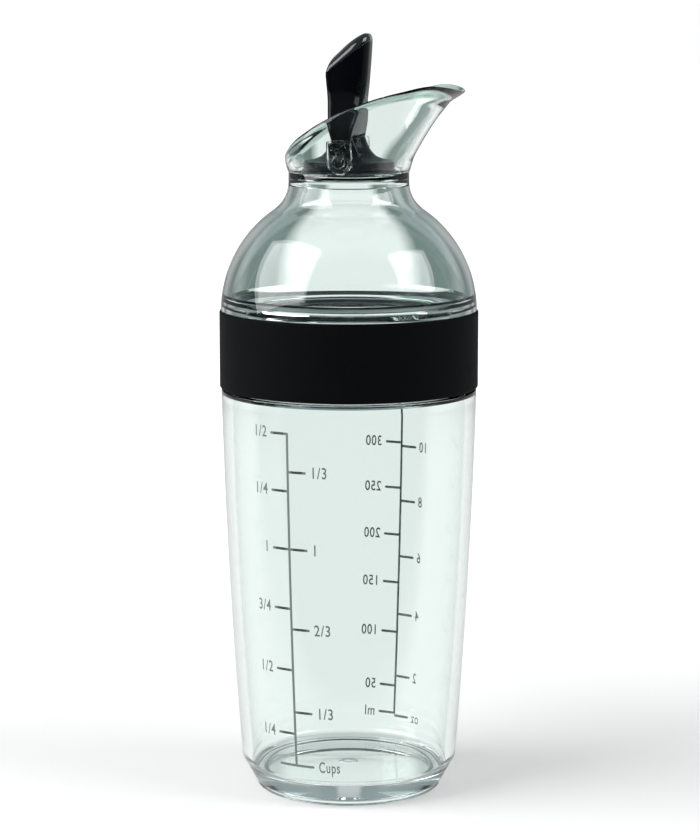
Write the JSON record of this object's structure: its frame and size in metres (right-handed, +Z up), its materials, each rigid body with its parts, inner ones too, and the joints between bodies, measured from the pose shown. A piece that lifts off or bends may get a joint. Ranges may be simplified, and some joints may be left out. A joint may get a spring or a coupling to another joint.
{
  "type": "salad dressing shaker",
  "caption": "clear tapered container with printed scales, screw-on clear domed lid with a pouring spout, and a lever that raises and lowers a sealed stopper in the neck",
  "frame": {"origin": "centre of the foot ring's underside, on the container's axis", "axes": "+Z up along the axis from the foot to the lever; +X towards the tip of the pouring spout; the lever turns about the Y axis"},
  "size_m": [0.076, 0.076, 0.2226],
  "materials": {
    "clear_container": "polished clear copolyester",
    "clear_lid": "polished clear copolyester",
    "soft_black": "matte soft-touch elastomer",
    "gasket_silicone": "matt translucent silicone",
    "stopper_black": "semi-gloss moulded",
    "seal_grey": "satin silicone",
    "lever_black": "gloss moulded",
    "cap_black": "polished moulded",
    "pin_steel": "turned stainless steel"
  },
  "bodies": {
    "base": {"container": "clear_container"},
    "gasket": {"container_gasket": "gasket_silicone"},
    "lid": {"lid_dome": "clear_lid", "grip_band": "soft_black"},
    "lever": {"lever_body": "lever_black", "lever_cap": "cap_black", "link_pin": "pin_steel"},
    "plug": {"stopper": "stopper_black", "stopper_seal": "seal_grey"}
  },
  "joints": [
    {"name": "lid_lift", "type": "slide", "parent": "base", "child": "gasket", "axis": [0, 0, 1], "range_m": [0, 0.03]},
    {"name": "lid_turn", "type": "hinge", "parent": "gasket", "child": "lid", "pos_m": [0, 0, 0.13], "axis": [0, 0, 1], "range_deg": [0, 1080]},
    {"name": "lever_fold", "type": "hinge", "parent": "lid", "child": "lever", "pos_m": [0, 0, 0.18625], "axis": [0, 1, 0], "range_deg": [0, 45]},
    {"name": "stopper_slide", "type": "slide", "parent": "lid", "child": "plug", "axis": [0, 0, 1], "range_m": [-0.00301, 0]}
  ],
  "couplings": [
    {"joint": "lid_turn", "follows": "lid_lift", "rad_per_m": 628.32},
    {"joint": "lever_fold", "follows": "stopper_slide", "rad_per_m": -260.9}
  ]
}
